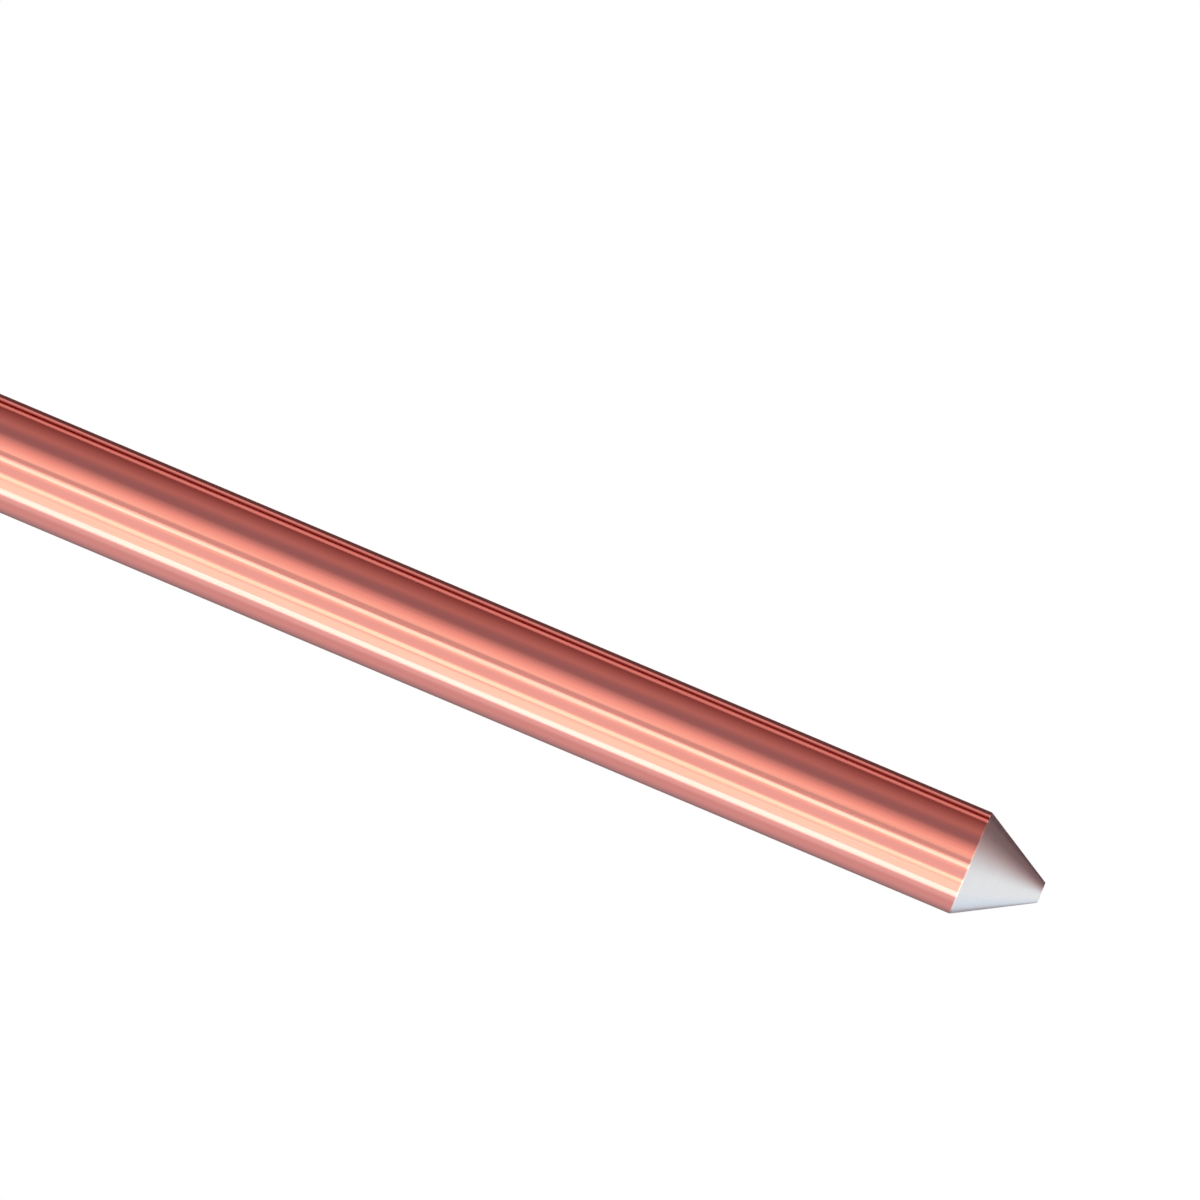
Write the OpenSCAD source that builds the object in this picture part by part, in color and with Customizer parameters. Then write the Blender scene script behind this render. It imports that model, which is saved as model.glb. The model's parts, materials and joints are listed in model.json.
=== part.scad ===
// Earth rod: a round steel bar with copper bonded to its shank.
// The bottom end is a blunt conical point and the top end a chamfered driving head.
// Both ends are machined through the copper, so bare steel shows on the cone, the chamfer
// and the driving face, and the copper ends in a thin ring flush with each slope.
// Millimetres, +Z up along the rod, origin at the centre of the flat on the point.

/* [Rod] */
// Overall length, from the flat on the point to the driving face
rod_length = 1200; // [300:10:3000]
// Diameter of the shank over the copper
rod_diameter = 14.2; // [10:0.1:25.4]
// Radial thickness of the bonded copper
copper_thickness = 0.1; // [0.05:0.01:0.5]

/* [Point] */
// Included angle of the conical point, in degrees
point_angle = 60; // [30:1:120]
// Diameter of the flat left at the tip
tip_flat_diameter = 2.8; // [1:0.1:6]

/* [Driving head] */
// Radial width of the chamfer round the driving face
head_chamfer = 1.9; // [0.8:0.1:4]
// Slope of the chamfer, in degrees from the rod's axis
head_chamfer_angle = 45; // [30:1:60]

/* [Hidden] */
$fn = 180;

rod_r = rod_diameter / 2;
core_r = rod_r - copper_thickness;
tip_r = tip_flat_diameter / 2;
face_r = rod_r - head_chamfer;

// Height at which the cone of the point has a given radius
function point_z(r) = (r - tip_r) / tan(point_angle / 2);

// Height at which the chamfer of the head has a given radius
function head_z(r) = rod_length - (r - face_r) / tan(head_chamfer_angle);

// Half section of the steel bar: flat tip, cone, shank, chamfer and driving face
module core_section() {
  polygon([
    [0, 0],
    [tip_r, 0],
    [core_r, point_z(core_r)],
    [core_r, head_z(core_r)],
    [face_r, rod_length],
    [0, rod_length]
  ]);
}

// Half section of the copper, whose ends carry on the slopes of the cone and the chamfer
module jacket_section() {
  polygon([
    [core_r, point_z(core_r)],
    [rod_r, point_z(rod_r)],
    [rod_r, head_z(rod_r)],
    [core_r, head_z(core_r)]
  ]);
}

// Pointed and chamfered steel bar that takes the hammer blows
module steel_core() {
  color("silver") rotate_extrude() core_section();
}

// Copper bonded over the whole shank, the surface that meets the soil and the clamp
module copper_jacket() {
  color("darksalmon") rotate_extrude() jacket_section();
}

steel_core();
copper_jacket();
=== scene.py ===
"""Looks of the earth rod: drawn copper over machined steel, seen in a white light tent.

Both solids are round, so each is turned again here as a fine mesh with softened edges.
Metres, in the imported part's frame: +Z up the rod, origin on the flat of the point.
"""
import json
import math
from collections import namedtuple

import bpy
from mathutils import Matrix, Vector


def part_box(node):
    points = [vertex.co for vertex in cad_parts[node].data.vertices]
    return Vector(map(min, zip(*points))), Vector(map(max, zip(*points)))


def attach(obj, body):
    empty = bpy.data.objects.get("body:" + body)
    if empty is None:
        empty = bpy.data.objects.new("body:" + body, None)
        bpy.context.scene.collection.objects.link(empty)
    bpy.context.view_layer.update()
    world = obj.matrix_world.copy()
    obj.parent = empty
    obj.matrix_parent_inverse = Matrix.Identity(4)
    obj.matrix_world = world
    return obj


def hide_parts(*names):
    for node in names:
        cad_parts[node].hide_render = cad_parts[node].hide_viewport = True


MM = 0.001

# The turned meshes
SIDES = 240
ROUND_STEPS = 5
TIP_ROUND = 0.15 * MM
FACE_ROUND = 0.25 * MM
COPPER_ROUND = 0.15 * MM
SHARP_ANGLE = math.radians(20)
SHANK_RINGS = 30
SAME_HEIGHT = 0.01 * MM

# The sleeve's map, on which its finish is baked: columns for the shank and a narrow one for the inside
SHANK_COLUMNS = 5
INSIDE_WIDTH = 0.04
SLEEVE_MAP = ((1 - INSIDE_WIDTH) / SHANK_COLUMNS,) * SHANK_COLUMNS + (INSIDE_WIDTH,)
CUT_RING_END = 0.02
ROUND_SPAN = 0.006

# The bar's map: one column, and the ends of its faces there, from the tip to the driving face
BAR_MAP = (1.0,)
TIP_END = 0.06
CONE_END = 0.5
SHANK_END = 0.54
CHAMFER_END = 0.7

# A ring close to the axis, so that both flats fill their place on the map
HUB_R = 0.05 * MM
HUB_END = 0.005

# The camera, and where the rod lies in the square picture: its width and its tip in pixels
PICTURE_SIDE = 1200
ROD_PIXELS = 110.2
TIP_PIXEL = (1041.4, 892.8)
AXIS_SLOPE = math.radians(22.88)
LENS_MM = 1000
SENSOR_MM = 36
EYE_LEVEL = 1 * MM

# Finishes: two linear colours in clouds, and marks that change the roughness and the relief
Finish = namedtuple("Finish", "name colour deep clouds marks roughness depth")
DRAWN_COPPER = Finish(
    name="drawn_copper",
    colour=(0.93, 0.375, 0.32, 1),
    deep=(0.89, 0.335, 0.275, 1),
    clouds=(150, 150, 40),
    marks=(6000, 6000, 25),
    roughness=(0.08, 0.15),
    depth=0.003 * MM,
)
TURNED_STEEL = Finish(
    name="turned_steel",
    colour=(0.86, 0.86, 0.87, 1),
    deep=(0.82, 0.82, 0.83, 1),
    clouds=(400, 400, 400),
    marks=(4000, 1, 1),
    roughness=(0.26, 0.37),
    depth=0.008 * MM,
)
MARK_DETAIL = 3
CLOUD_DETAIL = 4
NOISE_RANGE = (0.3, 0.7)

# A painted highlight: the copper is coloured pale on its two cut rings, and fades back to its own
# colour along the shank
PALE_HIGHLIGHT_COPPER = (0.96, 0.83, 0.79, 1)
CUT_FADE = 0.15 * MM

# The light tent and its floor, with the lamps and cards that the metal mirrors
TENT_LEVEL = 1
TENT_COLOUR = (1, 1, 1, 1)
LAMP_RADIUS = 1.2
LAMP_FOOT = -0.6
LAMP_TOP = 1.35
CARD_RADIUS = 1.6
FLOOR_SIDE = 60
FLOOR_COLOUR = (0.85, 0.85, 0.85, 1)
SUN_LEVEL = 0.25
SUN_SPREAD = math.radians(12)
SUN_LEAN = math.radians(35)
SUN_TURN = math.radians(-30)

# Brightness of the cards in a mirror, as linear red, green and blue
BRIGHT = (1.7, 1.7, 1.5)
CREAM = (1.15, 1.2, 1.05)
PEACH = (1, 0.8, 0.75)
PALE = (0.94, 0.95, 0.96)
ICE = (0.84, 0.92, 1)
LILAC = (0.7, 0.65, 0.7)
COOL = (0.64, 0.68, 0.74)
GREY = (0.7, 0.68, 0.68)
ROSE = (0.8, 0.54, 0.52)
BROWN = (0.5, 0.34, 0.33)
DUSK = (0.45, 0.44, 0.45)
MAUVE = (0.34, 0.27, 0.3)
UMBER = (0.22, 0.13, 0.13)
SLATE = (0.17, 0.15, 0.16)
CHESTNUT = (0.2, 0.07, 0.07)
RED = (0.16, 0, 0)
BLACK = (0.12, 0.06, 0.06)
COAL = (0.04, 0.03, 0.03)

# Angles run round the rod in degrees from the camera's side, positive to the picture's lower side
CARD_STEP = 3
Strip = namedtuple("Strip", "name angle width level colour")
STRIPS = (
    Strip("strip_centre", angle=9, width=8, level=1.35, colour=(1, 1, 0.82)),
    Strip("strip_middle", angle=43.3, width=9.6, level=1.18, colour=(1, 1, 0.66)),
    Strip("strip_low", angle=77.5, width=14.4, level=1.68, colour=(1, 1, 1)),
)

# Lowest and highest edge of the cards for the head, for the shank and for the point
ABOVE_HEAD = (1.4, 4)
BESIDE_SHANK = (-0.55, 1.4)
UNDER_POINT = (-4.4, -0.55)
Card = namedtuple("Card", "name span start end first last")
CARDS = (
    Card("head_card", ABOVE_HEAD, -180, 180, DUSK, DUSK),
    Card("edge_card", BESIDE_SHANK, -170, -138.5, BLACK, BLACK),
    Card("edge_line", BESIDE_SHANK, -138.5, -132, ROSE, ROSE),
    Card("edge_fade", BESIDE_SHANK, -132, -124, ROSE, RED),
    Card("red_gap", BESIDE_SHANK, -124, -114.5, RED, RED),
    Card("upper_line", BESIDE_SHANK, -114.5, -105, ROSE, ROSE),
    Card("brown_rise", BESIDE_SHANK, -105, -68, CHESTNUT, BROWN),
    Card("brown_fade", BESIDE_SHANK, -68, -53, BROWN, MAUVE),
    Card("mauve_card", BESIDE_SHANK, -53, -43, MAUVE, MAUVE),
    Card("glow_rise", BESIDE_SHANK, -43, -22, MAUVE, PEACH),
    Card("warm_glow", BESIDE_SHANK, -22, -7, PEACH, CREAM),
    Card("grey_line", BESIDE_SHANK, -7, 6, GREY, GREY),
    Card("centre_tail", BESIDE_SHANK, 12.5, 21, CREAM, PALE),
    Card("pale_gap", BESIDE_SHANK, 21, 40, PALE, PALE),
    Card("broad_glow", BESIDE_SHANK, 51, 69, BRIGHT, BRIGHT),
    Card("low_tail", BESIDE_SHANK, 83.5, 96, ICE, ICE),
    Card("lower_shade", BESIDE_SHANK, 96, 104, ICE, LILAC),
    Card("lower_card", BESIDE_SHANK, 104, 121, LILAC, LILAC),
    Card("lower_edge", BESIDE_SHANK, 121, 168, LILAC, SLATE),
    Card("point_edge", UNDER_POINT, -170, -136, COAL, COAL),
    Card("point_dark", UNDER_POINT, -136, -100, UMBER, UMBER),
    Card("point_brown", UNDER_POINT, -100, -60, UMBER, BROWN),
    Card("point_shade", UNDER_POINT, -60, 24, BROWN, PALE),
    Card("point_bright", UNDER_POINT, 24, 105, PALE, PALE),
    Card("point_cool", UNDER_POINT, 105, 175, ICE, COOL),
)

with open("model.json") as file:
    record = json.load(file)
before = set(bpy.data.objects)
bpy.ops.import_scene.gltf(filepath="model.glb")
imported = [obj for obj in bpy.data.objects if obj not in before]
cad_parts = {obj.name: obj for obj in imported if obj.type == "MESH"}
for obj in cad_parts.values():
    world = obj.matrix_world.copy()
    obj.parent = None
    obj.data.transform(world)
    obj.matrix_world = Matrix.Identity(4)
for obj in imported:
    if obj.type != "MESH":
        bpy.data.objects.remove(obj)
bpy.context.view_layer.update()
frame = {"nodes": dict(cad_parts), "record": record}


def rim_radius(node, height):
    """Largest radius of a CAD node's vertices at a height."""
    places = [v.co for v in frame["nodes"][node].data.vertices]
    return max(co.xy.length for co in places if abs(co.z - height) < SAME_HEIGHT)


# Sizes of the rod, from the frame
mounts = {mount["name"]: mount for mount in frame["record"]["mounts"]}
ROD_R = mounts["shank"]["dims"]["r_mm"] * MM
LENGTH = mounts["driving_face"]["pos_m"][2]
CONE_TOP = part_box("copper_jacket")[0].z
CHAMFER_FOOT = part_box("copper_jacket")[1].z
CORE_R = rim_radius("steel_core", CONE_TOP)
TIP_R = rim_radius("steel_core", 0)
FACE_R = rim_radius("steel_core", LENGTH)
COPPER_FOOT = CONE_TOP + (ROD_R - CORE_R) * CONE_TOP / (CORE_R - TIP_R)
COPPER_TOP = CHAMFER_FOOT - (ROD_R - CORE_R) * (LENGTH - CHAMFER_FOOT) / (CORE_R - FACE_R)

# Turning: an outline is a row of corners (radius, height, place on the map, rounding radius)
Corner = namedtuple("Corner", "r z place round", defaults=(0,))


def rounded(before, corner, after):
    """Outline points of one corner: the corner itself, or an arc that touches both sides."""
    if not corner.round:
        return [(corner.r, corner.z, corner.place)]
    at = Vector((corner.r, corner.z))
    back = (Vector((before.r, before.z)) - at).normalized()
    on = (Vector((after.r, after.z)) - at).normalized()
    half = back.angle(on) / 2
    centre = at + (back + on).normalized() * corner.round / math.sin(half)
    first = at + back * corner.round / math.tan(half) - centre
    last = at + on * corner.round / math.tan(half) - centre
    points = []
    for step in range(ROUND_STEPS + 1):
        share = step / ROUND_STEPS
        r, z = centre + corner.round * first.lerp(last, share).normalized()
        points.append((r, z, corner.place + ROUND_SPAN * (share - 0.5)))
    return points


def outline(corners):
    """Outline points (radius, height, place on the map), with each corner rounded as it says."""
    ends = [corners[0], *corners, corners[-1]]
    points = []
    for before, corner, after in zip(ends, ends[1:], ends[2:]):
        points += rounded(before, corner, after)
    return points


def turn(name, points, columns):
    """Revolves outline points about Z. The whole part of a point's place picks its map column."""
    vertices = []
    rings = {}
    for r, z, _ in points:
        if (r, z) in rings:
            continue
        count = SIDES if r else 1
        rings[r, z] = range(len(vertices), len(vertices) + count)
        for side in range(count):
            angle = 2 * math.pi * side / SIDES
            vertices.append((r * math.cos(angle), r * math.sin(angle), z))
    faces = []
    places = []
    for lower, upper in zip(points, points[1:]):
        column = math.floor((lower[2] + upper[2]) / 2)
        left = sum(columns[:column])
        for side in range(SIDES):
            face = []
            walk = ((lower, side), (lower, side + 1), (upper, side + 1), (upper, side))
            for (r, z, place), step in walk:
                ring = rings[r, z]
                vertex = ring[step % len(ring)]
                if vertex not in face:
                    face.append(vertex)
                    places += (left + columns[column] * step / SIDES, place - column)
            faces.append(face)
    mesh = bpy.data.meshes.new(name)
    mesh.from_pydata(vertices, [], faces)
    mesh.uv_layers.new(name="OFBake").uv.foreach_set("vector", places)
    mesh.shade_smooth()
    mesh.set_sharp_from_angle(angle=SHARP_ANGLE)
    piece = bpy.data.objects.new(name, mesh)
    bpy.context.scene.collection.objects.link(piece)
    piece.modifiers.new("even_shading", "WEIGHTED_NORMAL").keep_sharp = True
    return piece


def steel_bar():
    """The bar: flat tip, cone, hidden shank, chamfer and driving face."""
    corners = (
        Corner(0, 0, 0),
        Corner(HUB_R, 0, HUB_END),
        Corner(TIP_R, 0, TIP_END, TIP_ROUND),
        Corner(CORE_R, CONE_TOP, CONE_END),
        Corner(CORE_R, CHAMFER_FOOT, SHANK_END),
        Corner(FACE_R, LENGTH, CHAMFER_END, FACE_ROUND),
        Corner(HUB_R, LENGTH, 1 - HUB_END),
        Corner(0, LENGTH, 1),
    )
    return turn("steel_bar", outline(corners), BAR_MAP)


def copper_sleeve():
    """The copper: a cut ring at each end, the shank between them, and the bonded inside."""
    corners = [Corner(CORE_R, CONE_TOP, 0), Corner(ROD_R, COPPER_FOOT, CUT_RING_END, COPPER_ROUND)]
    for ring in range(1, SHANK_RINGS):
        share = ring / SHANK_RINGS
        height = COPPER_FOOT + share * (COPPER_TOP - COPPER_FOOT)
        corners.append(Corner(ROD_R, height, share * SHANK_COLUMNS))
    corners += [
        Corner(ROD_R, COPPER_TOP, SHANK_COLUMNS - CUT_RING_END, COPPER_ROUND),
        Corner(CORE_R, CHAMFER_FOOT, SHANK_COLUMNS),
        Corner(CORE_R, CONE_TOP, SHANK_COLUMNS + 1),
    ]
    return turn("copper_sleeve", outline(corners), SLEEVE_MAP)


# Finishes

def add(tree, kind, inputs, **settings):
    """Adds a node, with each input set to a value or linked from a socket."""
    node = tree.nodes.new(kind)
    for name, value in settings.items():
        setattr(node, name, value)
    for name, value in inputs.items():
        if isinstance(value, bpy.types.NodeSocket):
            tree.links.new(value, node.inputs[name])
        else:
            node.inputs[name].default_value = value
    return node


def metal(finish):
    """A new metal, its node tree, its shader and the rod's own coordinates."""
    material = bpy.data.materials.new(finish.name)
    material.use_nodes = True
    tree = material.node_tree
    shader = tree.nodes["Principled BSDF"]
    shader.inputs["Metallic"].default_value = 1
    place = add(tree, "ShaderNodeTexCoord", {}).outputs["Object"]
    return material, tree, shader, place


def noise(tree, place, scale, detail):
    """Noise from 0 to 1, with its own scale per metre along X, Y and Z."""
    stretched = add(tree, "ShaderNodeVectorMath", {0: place, 1: scale}, operation="MULTIPLY")
    inputs = {"Vector": stretched.outputs["Vector"], "Scale": 1, "Detail": detail}
    return add(tree, "ShaderNodeTexNoise", inputs).outputs["Fac"]


def spread(tree, value, before, after):
    """A value carried over from one range of numbers to another, and kept inside it."""
    inputs = {"Value": value, "From Min": before[0], "From Max": before[1]}
    inputs.update({"To Min": after[0], "To Max": after[1]})
    return add(tree, "ShaderNodeMapRange", inputs).outputs["Result"]


def tint(tree, share, first, second):
    """A mix of two colours, each given or linked, by a share from 0 to 1."""
    node = add(tree, "ShaderNodeMix", {}, data_type="RGBA", factor_mode="UNIFORM")
    sockets = {socket.identifier: socket for socket in node.inputs}
    tree.links.new(share, sockets["Factor_Float"])
    for name, colour in (("A_Color", first), ("B_Color", second)):
        if isinstance(colour, bpy.types.NodeSocket):
            tree.links.new(colour, sockets[name])
        else:
            sockets[name].default_value = colour
    return next(socket for socket in node.outputs if socket.identifier == "Result_Color")


def coloured(tree, place, marks, finish):
    """The finish's two colours, mixed by the sum of faint clouds and the marks."""
    clouds = noise(tree, place, finish.clouds, CLOUD_DETAIL)
    both = add(tree, "ShaderNodeMath", {0: clouds, 1: marks}, operation="ADD").outputs["Value"]
    sum_range = [2 * level for level in NOISE_RANGE]
    return tint(tree, spread(tree, both, sum_range, (0, 1)), finish.colour, finish.deep)


def marked(tree, shader, place, finish):
    """Gives the shader the finish's marks, in its roughness and its relief, and returns them."""
    marks = noise(tree, place, finish.marks, MARK_DETAIL)
    tree.links.new(spread(tree, marks, NOISE_RANGE, finish.roughness), shader.inputs["Roughness"])
    relief = add(tree, "ShaderNodeBump", {"Height": marks, "Distance": finish.depth})
    tree.links.new(relief.outputs["Normal"], shader.inputs["Normal"])
    return marks


def drawn_copper():
    """Bright drawn copper: fine lines along the rod, faint clouds, and a painted highlight in pale
    colour on the cut edges.
    """
    material, tree, shader, place = metal(DRAWN_COPPER)
    lines = marked(tree, shader, place, DRAWN_COPPER)
    height = add(tree, "ShaderNodeSeparateXYZ", {"Vector": place}).outputs["Z"]
    inputs = {0: height, 1: (COPPER_FOOT + COPPER_TOP) / 2}
    offset = add(tree, "ShaderNodeMath", inputs, operation="SUBTRACT").outputs["Value"]
    from_middle = add(tree, "ShaderNodeMath", {0: offset}, operation="ABSOLUTE").outputs["Value"]
    half = (COPPER_TOP - COPPER_FOOT) / 2
    # Painted highlight: a pale colour faded in near both ends of the shank, where the cut rings are
    cut = spread(tree, from_middle, (half - CUT_FADE, half), (0, 1))
    colour = tint(tree, cut, coloured(tree, place, lines, DRAWN_COPPER), PALE_HIGHLIGHT_COPPER)
    tree.links.new(colour, shader.inputs["Base Color"])
    return material


def turned_steel():
    """Machined steel: turning marks in rings round the axis, on a satin grey."""
    material, tree, shader, place = metal(TURNED_STEEL)
    flat = add(tree, "ShaderNodeVectorMath", {0: place, 1: (1, 1, 0)}, operation="MULTIPLY")
    radius = add(tree, "ShaderNodeVectorMath", {0: flat.outputs["Vector"]}, operation="LENGTH")
    ring = add(tree, "ShaderNodeCombineXYZ", {"X": radius.outputs["Value"]}).outputs["Vector"]
    rings = marked(tree, shader, ring, TURNED_STEEL)
    tree.links.new(coloured(tree, place, rings, TURNED_STEEL), shader.inputs["Base Color"])
    return material


def dress(piece, node, material):
    """Puts a turned piece in the place of its CAD node, with its finish."""
    piece.data.materials.append(material)
    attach(piece, "root")
    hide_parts(node)


# Studio

def around(angle, radius, height):
    """The point at an angle in degrees round the rod, from the camera's side."""
    turned = math.radians(angle)
    return Vector((-radius * math.sin(turned), -radius * math.cos(turned), height))


def tent():
    """The world: an even white tent, which is the backdrop too."""
    world = bpy.data.worlds.new("tent")
    world.use_nodes = True
    backdrop = world.node_tree.nodes["Background"]
    backdrop.inputs["Color"].default_value = TENT_COLOUR
    backdrop.inputs["Strength"].default_value = TENT_LEVEL
    bpy.context.scene.world = world


def strip_lamp(strip):
    """A tall soft lamp that faces the rod. Its level is its brightness in a mirror."""
    lamp = bpy.data.lights.new(strip.name, "AREA")
    lamp.shape = "RECTANGLE"
    lamp.size = 2 * LAMP_RADIUS * math.tan(math.radians(strip.width / 2))
    lamp.size_y = LAMP_TOP - LAMP_FOOT
    lamp.energy = strip.level * math.pi * lamp.size * lamp.size_y
    lamp.color = strip.colour
    holder = bpy.data.objects.new(strip.name, lamp)
    holder.location = around(strip.angle, LAMP_RADIUS, (LAMP_TOP + LAMP_FOOT) / 2)
    holder.rotation_euler = (math.pi / 2, 0, -math.radians(strip.angle))
    holder.visible_camera = False
    holder.visible_diffuse = False
    bpy.context.scene.collection.objects.link(holder)


def floor_sun():
    """A soft light from above that mirrors don't see, so that the rod's shadow shows on the floor."""
    sun = bpy.data.lights.new("floor_sun", "SUN")
    sun.energy = SUN_LEVEL * math.pi
    sun.angle = SUN_SPREAD
    holder = bpy.data.objects.new("floor_sun", sun)
    holder.rotation_euler = (SUN_LEAN, 0, SUN_TURN)
    holder.visible_glossy = False
    bpy.context.scene.collection.objects.link(holder)


def glow():
    """The light of the cards, in the colours painted on their vertices."""
    material = bpy.data.materials.new("card_glow")
    material.use_nodes = True
    tree = material.node_tree
    tree.nodes.remove(tree.nodes["Principled BSDF"])
    colour = add(tree, "ShaderNodeVertexColor", {}, layer_name="glow").outputs["Color"]
    light = add(tree, "ShaderNodeEmission", {"Color": colour}).outputs["Emission"]
    tree.links.new(light, tree.nodes["Material Output"].inputs["Surface"])
    return material


def reflection_card(card, material):
    """A curved card round the rod that only mirrors see, graded from its first edge to its last."""
    steps = math.ceil((card.end - card.start) / CARD_STEP)
    vertices = []
    colours = []
    for step in range(steps + 1):
        share = step / steps
        angle = card.start + share * (card.end - card.start)
        colour = Vector(card.first).lerp(Vector(card.last), share)
        for height in card.span:
            vertices.append(around(angle, CARD_RADIUS, height))
            colours += (*colour, 1)
    faces = [(2 * i, 2 * i + 2, 2 * i + 3, 2 * i + 1) for i in range(steps)]
    mesh = bpy.data.meshes.new(card.name)
    mesh.from_pydata(vertices, [], faces)
    mesh.color_attributes.new("glow", "FLOAT_COLOR", "POINT").data.foreach_set("color", colours)
    mesh.materials.append(material)
    piece = bpy.data.objects.new(card.name, mesh)
    piece.visible_camera = False
    piece.visible_diffuse = False
    piece.visible_shadow = False
    bpy.context.scene.collection.objects.link(piece)


def pale_floor():
    """A white floor that keeps the rod's soft shadow. The metal mirrors the tent below it instead."""
    material = bpy.data.materials.new("pale_floor")
    material.use_nodes = True
    tree = material.node_tree
    tree.nodes.remove(tree.nodes["Principled BSDF"])
    paint = add(tree, "ShaderNodeBsdfDiffuse", {"Color": FLOOR_COLOUR}).outputs["BSDF"]
    tree.links.new(paint, tree.nodes["Material Output"].inputs["Surface"])
    half = FLOOR_SIDE / 2
    mesh = bpy.data.meshes.new("floor")
    corners = ((-half, -half, 0), (half, -half, 0), (half, half, 0), (-half, half, 0))
    mesh.from_pydata(corners, [], [range(len(corners))])
    mesh.materials.append(material)
    floor = bpy.data.objects.new("floor", mesh)
    floor.visible_glossy = False
    bpy.context.scene.collection.objects.link(floor)


def camera():
    """A long lens at floor level, rolled so that the point lies at the picture's lower right."""
    pixel = 2 * ROD_R / ROD_PIXELS
    right = Vector((math.sin(AXIS_SLOPE), 0, -math.cos(AXIS_SLOPE)))
    up = Vector((math.cos(AXIS_SLOPE), 0, math.sin(AXIS_SLOPE)))
    middle = PICTURE_SIDE / 2
    aim = pixel * ((middle - TIP_PIXEL[0]) * right - (middle - TIP_PIXEL[1]) * up)
    eye = Vector((aim.x, -PICTURE_SIDE * pixel * LENS_MM / SENSOR_MM, EYE_LEVEL))
    back = (eye - aim).normalized()
    up = back.cross(right).normalized()
    right = up.cross(back)
    lens = bpy.data.cameras.new("camera")
    lens.lens = LENS_MM
    lens.sensor_width = SENSOR_MM
    lens.clip_end = FLOOR_SIDE
    holder = bpy.data.objects.new("camera", lens)
    turned = Matrix((right, up, back)).transposed().to_4x4()
    holder.matrix_world = Matrix.Translation(eye) @ turned
    bpy.context.scene.collection.objects.link(holder)
    bpy.context.scene.camera = holder


camera()
dress(steel_bar(), "steel_core", turned_steel())
dress(copper_sleeve(), "copper_jacket", drawn_copper())
tent()
for strip in STRIPS:
    strip_lamp(strip)
floor_sun()
card_glow = glow()
for card in CARDS:
    reflection_card(card, card_glow)
pale_floor()
bpy.context.scene.view_settings.view_transform = "Standard"
